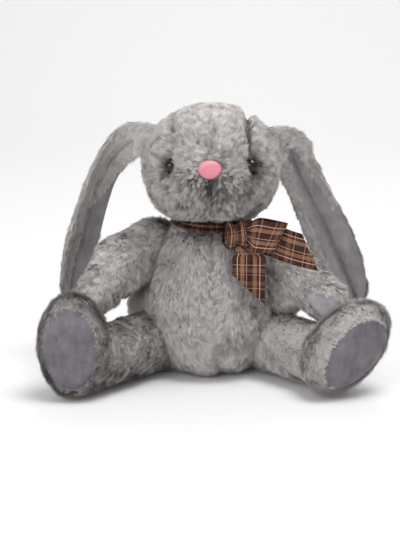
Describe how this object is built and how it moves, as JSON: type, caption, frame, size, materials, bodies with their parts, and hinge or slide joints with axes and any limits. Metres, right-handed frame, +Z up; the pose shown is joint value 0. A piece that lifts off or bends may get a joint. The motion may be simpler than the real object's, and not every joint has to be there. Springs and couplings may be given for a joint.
{
  "type": "stuffed bunny rabbit",
  "caption": "Seated grey plush rabbit with long lop ears, velboa soles and ear linings, a pink plastic nose, safety eyes and a plaid satin neck bow.",
  "frame": {"origin": "middle of the flat seat under the body", "axes": "+Z up, the face looks along -Y, the rabbit's own left is +X"},
  "size_m": [0.2633, 0.1744, 0.2125],
  "materials": {
    "plush_fur": "frosted grey pile",
    "velboa": "short smooth nap",
    "polyester_fill": "loose fibre",
    "bag_cloth": "plain weave",
    "plaid_satin": "woven satin plaid",
    "pink_plastic": "satin",
    "black_plastic": "gloss",
    "white_plastic": "moulded"
  },
  "bodies": {
    "torso": {"body_skin": "plush_fur", "body_stuffing": "polyester_fill", "pellet_bag": "bag_cloth", "tail": "plush_fur", "neck_ribbon": "plaid_satin", "ribbon_knot": "plaid_satin", "ribbon_loop": "plaid_satin"},
    "neck": {"neck_plug": "polyester_fill"},
    "head": {"head_skin": "plush_fur", "head_stuffing": "polyester_fill", "nose": "pink_plastic", "nose_washer": "white_plastic", "eye_left": "black_plastic", "eye_right": "black_plastic", "eye_washer_left": "white_plastic", "eye_washer_right": "white_plastic"},
    "ear_left": {"ear_back_left": "plush_fur", "ear_lining_left": "velboa"},
    "ear_right": {"ear_back_right": "plush_fur", "ear_lining_right": "velboa"},
    "arm_left": {"arm_skin_left": "plush_fur", "arm_stuffing_left": "polyester_fill", "paw_pad_left": "velboa"},
    "arm_right": {"arm_skin_right": "plush_fur", "arm_stuffing_right": "polyester_fill", "paw_pad_right": "velboa"},
    "leg_left": {"leg_skin_left": "plush_fur", "leg_stuffing_left": "polyester_fill", "foot_sole_left": "velboa"},
    "leg_right": {"leg_skin_right": "plush_fur", "leg_stuffing_right": "polyester_fill", "foot_sole_right": "velboa"},
    "bow_tail_front": {"ribbon_tail_front": "plaid_satin"},
    "bow_tail_side": {"ribbon_tail_side": "plaid_satin"}
  },
  "joints": [
    {"name": "neck_turn", "type": "hinge", "parent": "torso", "child": "neck", "pos_m": [0, 0, 0.115], "axis": [0, 0, 1], "range_deg": [-8, 8]},
    {"name": "head_nod", "type": "hinge", "parent": "neck", "child": "head", "pos_m": [0, 0, 0.12], "axis": [1, 0, 0], "range_deg": [-8, 8]},
    {"name": "ear_left_swing", "type": "hinge", "parent": "head", "child": "ear_left", "pos_m": [0.054, 0.002, 0.182], "axis": [1, 0, 0], "range_deg": [0, 60]},
    {"name": "ear_right_swing", "type": "hinge", "parent": "head", "child": "ear_right", "pos_m": [-0.054, 0.002, 0.183], "axis": [1, 0, 0], "range_deg": [0, 60]},
    {"name": "arm_left_lift", "type": "hinge", "parent": "torso", "child": "arm_left", "pos_m": [0.0425, 0.002, 0.1015], "axis": [0, -1, 0], "range_deg": [0, 45]},
    {"name": "arm_right_lift", "type": "hinge", "parent": "torso", "child": "arm_right", "pos_m": [-0.044, 0.002, 0.105], "axis": [0, 1, 0], "range_deg": [0, 45]},
    {"name": "leg_left_spread", "type": "hinge", "parent": "torso", "child": "leg_left", "pos_m": [0.04, -0.004, 0.0255], "axis": [0, 0, 1], "range_deg": [-10, 10]},
    {"name": "leg_right_spread", "type": "hinge", "parent": "torso", "child": "leg_right", "pos_m": [-0.04, -0.004, 0.0255], "axis": [0, 0, -1], "range_deg": [-10, 10]},
    {"name": "bow_tail_front_lift", "type": "hinge", "parent": "torso", "child": "bow_tail_front", "pos_m": [0.028, -0.0515, 0.1053], "axis": [-1, 0, 0], "range_deg": [0, 60]},
    {"name": "bow_tail_side_lift", "type": "hinge", "parent": "torso", "child": "bow_tail_side", "pos_m": [0.0285, -0.039, 0.116], "axis": [0, -1, 0], "range_deg": [0, 30]}
  ]
}
